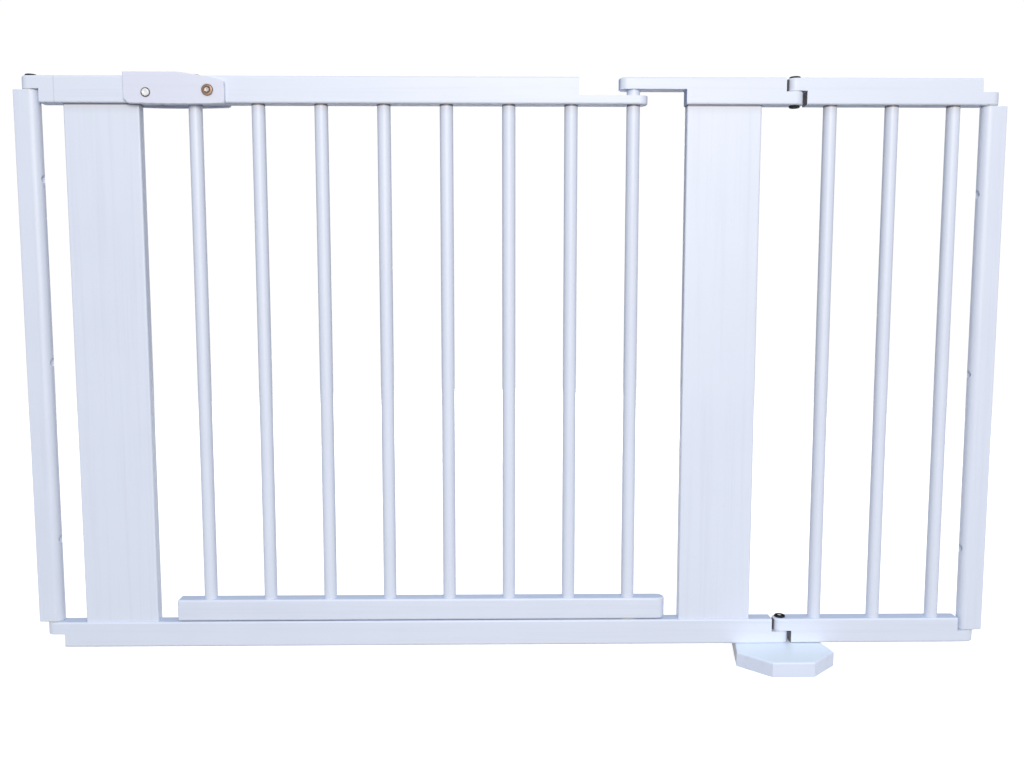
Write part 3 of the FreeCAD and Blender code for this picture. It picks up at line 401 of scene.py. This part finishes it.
# ---------------------------------------------------------------- finishes
def lacquered_beech(name, settings, along, tone=None, joints=(), rings=(), tenons=(), dark_ends=(),
                    shade_level_faces=False, top=None):
    """White lacquer over beech whose grain runs along X or Z.

    joints are heights where it meets another piece: a dark joint line, widened into a painted shadow below the
    rail, and painted shade in the corner. rings are (x, z, radius) of holes and heads let into it, with painted
    shade inside the button's window and a painted shadow ring round the bolt's head.
    tenons are places along X where an end block is glued on. dark_ends are places along X where the end grain
    is painted in deep shade, as in a hinge's narrow gap. With shade_level_faces a piece gets painted shade on
    its level faces and on the end grain in its laps.
    top is a painted light tone for the upper faces.
    """
    finish = Finish(name)
    place = finish.place()
    along_x = along == "X"
    # waves to the metre, few along the grain and many across it
    streak = (3.0, 150.0, 150.0) if along_x else (150.0, 150.0, 3.0)
    fleck = (90.0, 700.0, 700.0) if along_x else (700.0, 700.0, 90.0)
    figure = finish.noise(finish.stretched(place, streak), 1.0, 4.0, 0.55, 0.4)
    flecks = finish.noise(finish.stretched(place, fleck), 1.0, 2.0, 0.6).ramp(0.62, 0.74)
    cloud = finish.noise(place, 9.0, 3.0, 0.5)
    peel = finish.noise(place, 900.0, 2.0, 0.5)

    normal = finish.facing()
    end_grain = abs(normal[0] if along_x else normal[2]).ramp(0.75, 0.95)
    pores = finish.noise(place, 2400.0, 1.0, 0.5).ramp(0.60, 0.72)

    thin = (figure.ramp(0.46, 0.72) * 0.30 + flecks * 0.22 + cloud.ramp(0.4, 0.7) * 0.15
            + end_grain * (pores * 0.25 + 0.30))
    wood = finish.blend(thin, tone or settings.rail_colour, settings.shade_colour)

    height = finish.part(place, "Z")
    seam_and_shadow, dust_and_shade = 0.0, 0.0
    # a dark joint line widened into a painted shadow under the rail, and painted shade in the corner
    for joint in joints:
        distance = abs(height - joint)
        ragged = distance + (cloud - 0.5) * settings.seam_and_shadow_width
        seam_and_shadow = (1.0 - distance.ramp(settings.seam_and_shadow_width * 0.6, settings.seam_and_shadow_width * 1.3)).larger(seam_and_shadow)
        dust_and_shade = (1.0 - ragged.ramp(0.0, settings.seam_and_shadow_width * 7)).larger(dust_and_shade)
    # painted shade inside the button's window and a painted shadow ring round the latch bolt's head
    for x, z, radius in rings:
        across, along_z = finish.part(place, "X") - x, height - z
        distance = (across * across + along_z * along_z) ** 0.5 - radius
        front = 1.0 - finish.part(place, "Y").ramp(-8 * MM, -6 * MM)    # only the front plate has them
        seam_and_shadow = (front * (1.0 - distance.ramp(0.05 * MM, 0.35 * MM))).larger(seam_and_shadow)
        dust_and_shade = (front * (1.0 - (distance + (cloud - 0.5) * MM).ramp(0.0, 2.2 * MM))).larger(dust_and_shade)
    for x in tenons:
        distance = abs(finish.part(place, "X") - x)
        dust_and_shade = (1.0 - distance.ramp(0.3 * MM, 1.1 * MM)).larger(dust_and_shade)
    up = normal[2].ramp(0.85, 0.99)
    # painted light: upper faces get a lighter tone
    if top:
        wood = finish.blend(up, wood, top)
    # painted shade on upper and lower faces and on the end grain in the laps
    if shade_level_faces:
        down = (0.0 - normal[2]).ramp(0.80, 0.98)
        wood = finish.blend(up * 0.42 + down * 0.55 + end_grain * 0.8, wood, settings.level_face_shade_colour)
    # painted deep shade on the end grain near the pivots, and at the foot's left end
    for x in dark_ends:
        distance = abs(finish.part(place, "X") - x)
        near = 1.0 - distance.ramp(settings.dark_end_reach, settings.dark_end_reach * 1.2)
        wood = finish.blend(near * end_grain * 0.75, wood, settings.seam_and_shade_colour)
    if joints or rings or tenons:
        # painted corner shade near joints and heads, with the real glue line at the tenons
        wood = finish.blend(dust_and_shade * (0.25 + peel * 0.25), wood, settings.dust_and_shade_colour)
        # the joint line with its painted shadow, and the painted shade in the window
        wood = finish.blend(seam_and_shadow, wood, settings.seam_and_shade_colour)

    finish.set("Base Color", wood)
    finish.set("Roughness", settings.lacquer_gloss + (peel - 0.5) * 0.10 + figure.ramp(0.4, 0.8) * 0.06)
    relief = figure * 0.55 - flecks * 0.30 + peel * 0.12 - pores * end_grain * 0.5
    finish.set("Normal", finish.bump(relief, settings.grain_depth))
    finish.set("Coat Weight", 0.14)
    finish.set("Coat Roughness", 0.38)
    finish.set("IOR", 1.48)
    return finish.material


def bare_beech(settings):
    """Unfinished turned beech with straight grain and short ray flecks."""
    finish = Finish("bare_beech")
    place = finish.place()
    rings = finish.noise(finish.stretched(place, (260.0, 260.0, 9.0)), 1.0, 4.0, 0.6, 0.3)
    rays = finish.noise(finish.stretched(place, (900.0, 900.0, 160.0)), 1.0, 2.0, 0.5).ramp(0.62, 0.72)
    dark = tuple(part * 0.62 for part in settings.peg_colour)
    tone = finish.blend(rings.ramp(0.35, 0.70) * 0.7 + rays * 0.4, settings.peg_colour, dark)
    finish.set("Base Color", tone)
    finish.set("Roughness", 0.62 + rings * 0.12)
    finish.set("Normal", finish.bump(rings - rays * 0.5, 0.00010))
    return finish.material


def worn_metal(name, base, bright, dark, roughness, metallic, specular, scratched):
    """Plated or blackened metal, with scratches and rims rubbed bright, a painted highlight in the sockets and
    painted shade round their mouths and under the heads.
    """
    finish = Finish(name)
    place = finish.place()
    rub_and_highlight = finish.node("ShaderNodeAttribute", {"attribute_name": "rub_and_highlight"}, output="Fac")
    socket_shade = finish.node("ShaderNodeAttribute", {"attribute_name": "socket_shade"}, output="Fac")
    scratch = finish.noise(finish.stretched(place, (2500.0, 500.0, 2500.0)), 1.0, 3.0, 0.6)
    blotch = finish.noise(place, 420.0, 4.0, 0.6)
    # real wear on rims and scratches, and a painted highlight in the sockets
    rubbed_and_highlight = rub_and_highlight * blotch.ramp(0.20, 0.55)
    plated = finish.blend(rubbed_and_highlight * 0.85 + scratch.ramp(0.66, 0.8) * scratched, base, bright)
    # painted shade at the sockets' mouths and under the heads
    finish.set("Base Color", finish.blend(socket_shade * (0.65 + blotch * 0.35), plated, dark))
    finish.set("Metallic", metallic * (1.0 - rubbed_and_highlight * 0.7))
    finish.set("Roughness", roughness + (blotch - 0.5) * 0.22 - rubbed_and_highlight * 0.12 + socket_shade * 0.25)
    finish.set("Normal", finish.bump(scratch * 0.5 + blotch, 0.00003))
    finish.set("Specular IOR Level", specular)
    return finish.material


def zinc_steel():
    """Bright zinc over turned steel, for what is inside the joints."""
    finish = Finish("zinc_steel")
    place = finish.place()
    spangle = finish.noise(place, 600.0, 3.0, 0.6)
    turned = finish.noise(finish.stretched(place, (60.0, 60.0, 4200.0)), 1.0, 2.0, 0.5)
    finish.set("Base Color", finish.blend(spangle, (0.56, 0.57, 0.59), (0.70, 0.70, 0.69)))
    finish.set("Metallic", 1.0)
    finish.set("Roughness", 0.28 + turned * 0.16)
    finish.set("Normal", finish.bump(turned, 0.00002))
    return finish.material


def nylon(settings):
    """Moulded nylon, slightly milky."""
    finish = Finish("nylon")
    place = finish.place()
    cloud = finish.noise(place, 260.0, 3.0, 0.5)
    matte = tuple(part * 0.9 for part in settings.nylon_colour)
    finish.set("Base Color", finish.blend(cloud, settings.nylon_colour, matte))
    finish.set("Roughness", 0.45 + cloud * 0.12)
    finish.set("Normal", finish.bump(finish.noise(place, 1800.0, 2.0, 0.5), 0.00002))
    finish.set("Subsurface Weight", 0.15)
    return finish.material


def button_plastic(settings):
    """Glossy moulded plastic with a faint ripple and finger marks."""
    finish = Finish("button_plastic")
    place = finish.place()
    smear = finish.noise(finish.stretched(place, (180.0, 180.0, 420.0)), 1.0, 4.0, 0.6)
    ripple = finish.noise(place, 700.0, 2.0, 0.5)
    yellowed = tuple(part * tint for part, tint in zip(settings.button_colour, (0.96, 0.95, 0.92)))
    finish.set("Base Color", finish.blend(smear.ramp(0.5, 0.8) * 0.4, settings.button_colour, yellowed))
    finish.set("Roughness", 0.14 + smear.ramp(0.4, 0.75) * 0.16)
    finish.set("Normal", finish.bump(ripple, 0.00002))
    finish.set("Coat Weight", 0.3)
    return finish.material


def paint(names, material):
    """Give CAD nodes a finish in place of the plain one they came with."""
    for name in names:
        slots = frame["nodes"][name].material_slots
        for entry in slots:
            entry.material = material


# ---------------------------------------------------------------- shaping
def middle_of(node):
    """The middle of a CAD node's box."""
    low, high = (Vector(corner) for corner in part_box(node))
    return (low + high) / 2


AXIS_TURN = {"up": Matrix.Identity(4), "front": Matrix.Rotation(math.pi / 2, 4, "X"),
             "back": Matrix.Rotation(-math.pi / 2, 4, "X"), "down": Matrix.Rotation(math.pi, 4, "X")}


def turned(profile):
    """A round solid spun from (radius, height) points that start and end on the axis."""
    shape = bmesh.new()
    points = [shape.verts.new((radius, 0.0, height)) for radius, height in profile]
    edges = [shape.edges.new(pair) for pair in zip(points, points[1:])]
    bmesh.ops.spin(shape, geom=points + edges, cent=(0, 0, 0), axis=(0, 0, 1), angle=2 * math.pi,
                   steps=ROUND_STEPS, use_merge=True)
    bmesh.ops.remove_doubles(shape, verts=shape.verts, dist=1e-7)
    bmesh.ops.recalc_face_normals(shape, faces=shape.faces)
    return shape


def rounded(radius, height, inward, upward, steps):
    """Profile points of a rounded rim that starts at (radius, height) and leans in as it rises."""
    turns = [step / steps * math.pi / 2 for step in range(1, steps + 1)]
    return [(radius - (1 - math.cos(turn)) * inward, height + math.sin(turn) * upward) for turn in turns]


def sink_socket(shape, top, across, depth):
    """A hex socket with a chamfered mouth, let into the flat disc at the height top."""
    disc = [face for face in shape.faces
            if face.normal.z > 0.99 and abs(face.calc_center_median().z - top) < 1e-6]
    bmesh.ops.delete(shape, geom=disc, context="FACES")
    rim = [edge for edge in shape.edges if edge.is_boundary]
    reach, flare = across / math.sqrt(3), 1.12
    ring = bmesh.ops.create_circle(shape, cap_ends=False, segments=6, radius=reach * flare)["verts"]
    bmesh.ops.translate(shape, vec=(0, 0, top), verts=ring)
    mouth = list({edge for vert in ring for edge in vert.link_edges})
    bmesh.ops.bridge_loops(shape, edges=rim + mouth)
    # the chamfer, the straight walls and the sloping floor, each with its share of the depth
    for scale, drop in ((1 / flare, 0.12), (1.0, 0.82), (0.35, 0.10)):
        pushed = bmesh.ops.extrude_edge_only(shape, edges=mouth)["geom"]
        ring = [item for item in pushed if isinstance(item, bmesh.types.BMVert)]
        mouth = [item for item in pushed if isinstance(item, bmesh.types.BMEdge)]
        bmesh.ops.scale(shape, vec=(scale, scale, 1), verts=ring)
        bmesh.ops.translate(shape, vec=(0, 0, -drop * depth), verts=ring)
    bmesh.ops.contextual_create(shape, geom=mouth)
    bmesh.ops.recalc_face_normals(shape, faces=shape.faces)


def mark(shape, name, amount):
    """Keep an amount on every point for the finish to read: the wear and painted highlight layer, and the
    painted shade layer; amount takes the point's place.
    """
    layer = shape.verts.layers.float.new(name)
    for vert in shape.verts:
        vert[layer] = amount(vert.co)


def stand(node, direction, head_height):
    """From the CAD node: where a head sits, the head's radius and how far its shank reaches."""
    low, high = (Vector(corner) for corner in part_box(node))
    turn = AXIS_TURN[direction]
    outward = (turn @ Vector((0, 0, 1))).normalized()
    size = high - low
    reach = abs(size.dot(outward))
    across = max(abs(size.dot(turn @ Vector(side))) for side in ((1, 0, 0), (0, 1, 0)))
    seat = (low + high) / 2 + outward * (reach / 2 - head_height)
    return Matrix.Translation(seat) @ turn, across / 2, reach - head_height


def settle(name, shape, pose, material, node):
    """Put a finished shape in its place, to move with its CAD node's body and stand for that node."""
    bmesh.ops.transform(shape, matrix=pose, verts=shape.verts)
    mesh = bpy.data.meshes.new(name)
    shape.to_mesh(mesh)
    shape.free()
    mesh.shade_smooth()
    mesh.set_sharp_from_angle(angle=math.radians(32))
    mesh.materials.append(material)
    piece = bpy.data.objects.new(name, mesh)
    bpy.context.scene.collection.objects.link(piece)
    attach(piece, BODY_OF[node])
    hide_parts(node)
    return piece


# ---------------------------------------------------------------- operators
class GATE_OT_wood(bpy.types.Operator):
    """Lacquer the rails, boards, battens, bars and foot block."""

    bl_idname = "gate.wood"
    bl_label = "Lacquered wood"

    def execute(self, context):
        settings = context.scene.gate_lacquer
        top_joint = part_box("left_top_rail")[0][2]
        pivots = [middle_of(bolt).x for bolt in ("wing_top_bolt", "wing_bottom_bolt")]
        # the rails get painted shade on their level faces and laps, and on the end grain in the hinges' gaps
        paint(ACROSS_RAILS, lacquered_beech("lacquer_across", settings, "X", dark_ends=pivots,
                                            shade_level_faces=True))
        lap_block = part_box("left_top_rail")[0][0] + settings.lap_block
        paint(["left_top_rail"], lacquered_beech("lacquer_left_rail", settings, "X", tenons=[lap_block],
                                                 shade_level_faces=True))
        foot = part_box("foot_block")
        # the foot gets painted light on its top and painted shade at its left end
        paint(["foot_block"], lacquered_beech("lacquer_foot", settings, "X", settings.foot_colour,
                                              dark_ends=[foot[0][0]], top=settings.foot_top_painted_light))
        # the boards and bars get a joint line with painted shadow under the top rails, and painted corner shade
        paint(UPRIGHT_BOARDS, lacquered_beech("lacquer_boards", settings, "Z", joints=[top_joint]))
        paint(WALL_BATTENS, lacquered_beech("lacquer_battens", settings, "Z"))
        paint(BARS, lacquered_beech("lacquer_bars", settings, "Z", joints=[top_joint]))
        paint(PEGS, bare_beech(settings))
        return {"FINISHED"}


class GATE_OT_hidden_hardware(bpy.types.Operator):
    """Finish the pins, inserts, spring, screws and washers inside the joints."""

    bl_idname = "gate.hidden_hardware"
    bl_label = "Hidden hardware"

    def execute(self, context):
        settings = context.scene.gate_hardware
        paint(HIDDEN_STEEL, zinc_steel())
        paint(WASHERS + ["button_collar"], nylon(settings))
        return {"FINISHED"}


class GATE_OT_furniture_bolts(bpy.types.Operator):
    """Turn the black and bronze furniture bolts and their sleeve nuts, each with its hex socket."""

    bl_idname = "gate.furniture_bolts"
    bl_label = "Furniture bolts"

    def execute(self, context):
        settings = context.scene.gate_hardware
        black = worn_metal("black_steel", settings.black_colour, settings.worn_black_and_highlight_colour,
                           settings.socket_shade_colour, 0.62, 0.0, 0.06, 0.03)
        bronze = worn_metal("bronze_steel", settings.bronze_colour, settings.bright_metal_and_highlight_colour,
                            settings.socket_shade_colour, 0.34, 0.9, 0.5, 0.10)
        thin, thick = settings.bolt_diameter / 2, settings.sleeve_diameter / 2
        small, large = settings.socket_across, settings.latch_socket_across
        for node, direction, shank in (("left_top_bolt", "up", thin), ("door_rail_bolt", "up", thin),
                                       ("wing_top_bolt", "up", thin), ("wing_bottom_bolt", "up", thick)):
            self.fastener(settings, node, direction, shank, small, black, "black_steel")
        self.fastener(settings, "wing_top_sleeve_nut", "down", thick, small, black, "black_steel", thin)
        self.fastener(settings, "latch_bolt", "front", thin, large, bronze, "bronze_steel")
        self.fastener(settings, "latch_sleeve_nut", "back", thick, large, bronze, "bronze_steel", thin)
        return {"FINISHED"}

    def fastener(self, settings, node, direction, shank, across, material, slot, bore=None):
        """A bolt, or with a bore a sleeve nut."""
        tall = settings.head_height
        pose, radius, reach = stand(node, direction, tall)
        crown = settings.head_crown
        tip, edge = 0.6 * MM, 0.25 * MM
        if bore is None:
            foot = [(0.0, -reach), (shank - tip, -reach), (shank, tip - reach)]
        else:
            floor = -0.2 * reach
            foot = [(0.0, floor), (bore, floor), (bore, -reach), (shank, -reach)]
        head = [(shank, 0.0), (radius - edge, 0.0), (radius, edge), (radius, tall - crown)]
        head += rounded(radius, tall - crown, 1.6 * crown, crown, steps=5)
        shape = turned(foot + head + [(radius * 0.62, tall)])
        sink_socket(shape, tall, across, settings.socket_depth)
        hexagon = across / math.sqrt(3) * 1.13
        socket_middle = tall - settings.socket_depth * 0.5

        def rubbed_and_highlight(place):
            out = math.hypot(place.x, place.y)
            # painted highlight: the socket's floor and lower walls are made bright; the rims get real wear
            if 0 < place.z < socket_middle and out < hexagon:
                return 1.0
            on_rim = out > radius * 0.80 and 0.5 * crown < tall - place.z < 1.2 * crown
            return settings.rim_wear if on_rim else 0.0

        # painted shade round the socket's mouth and under the head
        def socket_shade_at(place):
            out = math.hypot(place.x, place.y)
            on_mouth = 0 < out - hexagon * 0.95 < 0.6 * MM and place.z > socket_middle
            under_head = out > radius * 0.9 and place.z < 0.4 * MM
            return 1.0 if on_mouth or under_head else 0.0

        mark(shape, "rub_and_highlight", rubbed_and_highlight)
        mark(shape, "socket_shade", socket_shade_at)
        settle(node + "_turned", shape, pose, material, node)


class GATE_OT_latch(bpy.types.Operator):
    """Lacquer the clasp, mould its dished push button and coil the spring behind it."""

    bl_idname = "gate.latch"
    bl_label = "Latch"

    def execute(self, context):
        lacquer = context.scene.gate_lacquer
        hardware = context.scene.gate_hardware
        # the clasp gets painted shade in the button's window and round the latch bolt
        rings = []
        for node, radius in (("lock_button", hardware.window_radius),
                             ("latch_bolt", hardware.latch_bolt_shade_radius)):
            middle = middle_of(node)
            rings.append((middle.x, middle.z, radius))
        paint(["latch_clasp"], lacquered_beech("clasp_lacquer", lacquer, "X", lacquer.clasp_colour,
                                               rings=rings))
        self.button(hardware)
        self.spring(hardware)
        return {"FINISHED"}

    def button(self, settings):
        """A flanged stem, a narrower neck in the clasp's window, and a dished cap with a rolled rim."""
        low, high = (Vector(corner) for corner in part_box("lock_button"))
        flange = (high.x - low.x) / 2
        tall = high.y - low.y
        stem = settings.window_radius - 0.42 * MM
        neck = settings.window_radius - settings.button_shadow_gap
        flange_top, neck_foot, rim = 1.95 * MM, 5.0 * MM, 1.5 * MM
        profile = [(0.0, 0.0), (flange, 0.0), (flange, flange_top), (stem, flange_top), (stem, neck_foot),
                   (neck, neck_foot + 0.4 * MM), (neck, tall - rim)]
        profile += rounded(neck, tall - rim, rim, rim, steps=8)
        dish_steps = 7
        for step in range(1, dish_steps + 1):
            share = step / dish_steps
            depth = settings.button_dish * math.sin(share * math.pi / 2)
            profile.append(((neck - rim) * (1 - share), tall - depth))
        shape = turned(profile)
        middle = (low + high) / 2
        pose = Matrix.Translation(Vector((middle.x, high.y, middle.z))) @ AXIS_TURN["front"]
        settle("push_button", shape, pose, button_plastic(settings), "lock_button")

    def spring(self, settings):
        """A wound coil that fills the spring's bore."""
        low, high = (Vector(corner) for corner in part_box("lock_spring"))
        middle = (low + high) / 2
        wire, turns, around = settings.spring_wire, settings.spring_turns, 28
        rise = high.y - low.y - wire - 2 * settings.spring_end_gap
        start = (Matrix.Translation(((high.x - low.x - wire) / 2, 0, wire / 2 + settings.spring_end_gap))
                 @ AXIS_TURN["front"])
        shape = bmesh.new()
        ring = bmesh.ops.create_circle(shape, cap_ends=False, segments=10, radius=wire / 2,
                                       matrix=start)["verts"]
        edges = list({edge for vert in ring for edge in vert.link_edges})
        bmesh.ops.spin(shape, geom=ring + edges, cent=(0, 0, 0), axis=(0, 0, 1), angle=2 * math.pi * turns,
                       dvec=(0, 0, rise / (turns * around)), steps=turns * around)
        bmesh.ops.holes_fill(shape, edges=[edge for edge in shape.edges if edge.is_boundary], sides=0)
        bmesh.ops.recalc_face_normals(shape, faces=shape.faces)
        pose = Matrix.Translation(Vector((middle.x, low.y, middle.z))) @ AXIS_TURN["back"]
        steel = bpy.data.materials.get("zinc_steel") or zinc_steel()
        coil = settle("wound_spring", shape, pose, steel, "lock_spring")
        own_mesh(coil)


class GATE_OT_stage(bpy.types.Operator):
    """Set up the floor, the camera, the lights and the white surround."""

    bl_idname = "gate.stage"
    bl_label = "Studio"

    def execute(self, context):
        studio = context.scene.gate_studio
        self.floor(studio)
        self.surround(studio)
        self.camera(context, studio)
        low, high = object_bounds()
        middle = (low + high) / 2
        tint = studio.key_colour
        self.softbox("key_light", studio.key_place, middle, studio.key_size, studio.key_power, tint)
        back = self.softbox("back_light", studio.back_place, middle, studio.back_size, studio.back_power,
                            tint)
        back.visible_glossy = False
        self.sky(context, studio)
        return {"FINISHED"}

    def show(self, name, shape, finish):
        mesh = bpy.data.meshes.new(name)
        shape.to_mesh(mesh)
        shape.free()
        mesh.materials.append(finish.material)
        made = bpy.data.objects.new(name, mesh)
        bpy.context.scene.collection.objects.link(made)
        made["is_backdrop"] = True
        return made

    def floor(self, studio):
        fade_end, edge = studio.floor_reach * 2.1, studio.floor_reach * 2.2
        shape = bmesh.new()
        bmesh.ops.create_circle(shape, cap_ends=True, segments=64, radius=edge)
        finish = Finish("studio_floor")
        place = finish.place()
        reach = finish.node("ShaderNodeVectorMath", {"operation": "LENGTH"}, {0: place}, output="Value")
        finish.set("Base Color", studio.floor_colour)
        finish.set("Roughness", 0.9)
        finish.set("Emission Color", (1.0, 1.0, 1.0))
        finish.set("Emission Strength", studio.floor_glow)
        finish.set("Alpha", 1.0 - reach.ramp(studio.floor_reach, fade_end))
        floor = self.show("studio_floor", shape, finish)
        floor.visible_diffuse = False

    def surround(self, studio):
        """A white dome that only the camera sees, so that it lights nothing."""
        shape = bmesh.new()
        bmesh.ops.create_icosphere(shape, subdivisions=3, radius=studio.surround_reach)
        finish = Finish("white_surround")
        finish.set("Base Color", (0.0, 0.0, 0.0))
        finish.set("Emission Color", (1.0, 1.0, 1.0))
        finish.set("Emission Strength", 1.0)
        dome = self.show("white_surround", shape, finish)
        dome.visible_diffuse = False
        dome.visible_glossy = False
        dome.visible_transmission = False
        dome.visible_volume_scatter = False
        dome.visible_shadow = False

    def camera(self, context, studio):
        data = bpy.data.cameras.new("camera")
        data.lens = studio.camera_lens
        data.clip_start = 0.05
        data.clip_end = 4 * studio.surround_reach
        camera = bpy.data.objects.new("camera", data)
        camera.location = studio.camera_place
        camera.rotation_euler = (math.pi / 2 - studio.camera_tilt, 0.0, -studio.camera_turn)
        context.scene.collection.objects.link(camera)
        context.scene.camera = camera

    def softbox(self, name, place, target, size, power, tint):
        """A round soft light that faces the target."""
        data = bpy.data.lights.new(name, "AREA")
        data.shape = "DISK"
        data.size = size
        data.energy = power
        data.color = tint
        light = bpy.data.objects.new(name, data)
        light.location = place
        light.rotation_euler = (target - Vector(place)).to_track_quat("-Z", "Y").to_euler()
        bpy.context.scene.collection.objects.link(light)
        return light

    def sky(self, context, studio):
        """Soft light from all round: cool from above, weak from below."""
        world = bpy.data.worlds.new("sky")
        world.use_nodes = True
        tree = world.node_tree
        direction = tree.nodes.new("ShaderNodeTexCoord").outputs["Generated"]
        split = tree.nodes.new("ShaderNodeSeparateXYZ")
        tree.links.new(direction, split.inputs["Vector"])
        height = tree.nodes.new("ShaderNodeMapRange")
        height.inputs["From Min"].default_value = -0.4
        height.inputs["From Max"].default_value = 0.4
        tree.links.new(split.outputs["Z"], height.inputs["Value"])
        behind = tree.nodes.new("ShaderNodeMapRange")
        behind.inputs["From Min"].default_value = 0.8
        behind.inputs["From Max"].default_value = -0.6
        behind.inputs["To Min"].default_value = studio.back_share
        behind.inputs["To Max"].default_value = 1.0
        tree.links.new(split.outputs["Y"], behind.inputs["Value"])
        tree.links.new(behind.outputs["Result"], tree.nodes["Background"].inputs["Strength"])
        mix = tree.nodes.new("ShaderNodeMix")
        mix.data_type = "RGBA"
        mix.inputs[6].default_value = colour(studio.ground_colour)
        mix.inputs[7].default_value = colour(studio.sky_colour)
        tree.links.new(height.outputs["Result"], mix.inputs[0])
        tree.links.new(mix.outputs[2], tree.nodes["Background"].inputs["Color"])
        context.scene.world = world
        context.scene.view_settings.view_transform = "Standard"


class GATE_PT_sidebar(bpy.types.Panel):
    """Lists the settings and the steps in order."""

    bl_idname = "GATE_PT_sidebar"
    bl_label = "Baby gate"
    bl_space_type = "VIEW_3D"
    bl_region_type = "UI"
    bl_category = "Baby gate"

    def draw(self, context):
        for group in (context.scene.gate_lacquer, context.scene.gate_hardware, context.scene.gate_studio):
            box = self.layout.box()
            for setting in group.__annotations__:
                box.prop(group, setting)
        for operator in STEPS:
            self.layout.operator(operator.bl_idname)


STEPS = (GATE_OT_wood, GATE_OT_hidden_hardware, GATE_OT_furniture_bolts, GATE_OT_latch, GATE_OT_stage)
CLASSES = (GateLacquerSettings, GateHardwareSettings, GateStudioSettings, *STEPS, GATE_PT_sidebar)


def register():
    for each in CLASSES:
        bpy.utils.register_class(each)
    bpy.types.Scene.gate_lacquer = bpy.props.PointerProperty(type=GateLacquerSettings)
    bpy.types.Scene.gate_hardware = bpy.props.PointerProperty(type=GateHardwareSettings)
    bpy.types.Scene.gate_studio = bpy.props.PointerProperty(type=GateStudioSettings)


def unregister():
    del bpy.types.Scene.gate_studio
    del bpy.types.Scene.gate_hardware
    del bpy.types.Scene.gate_lacquer
    for each in reversed(CLASSES):
        bpy.utils.unregister_class(each)


def main():
    register()
    bpy.ops.gate.wood()
    bpy.ops.gate.hidden_hardware()
    bpy.ops.gate.furniture_bolts()
    bpy.ops.gate.latch()
    bpy.ops.gate.stage()


if __name__ == "__main__":
    main()
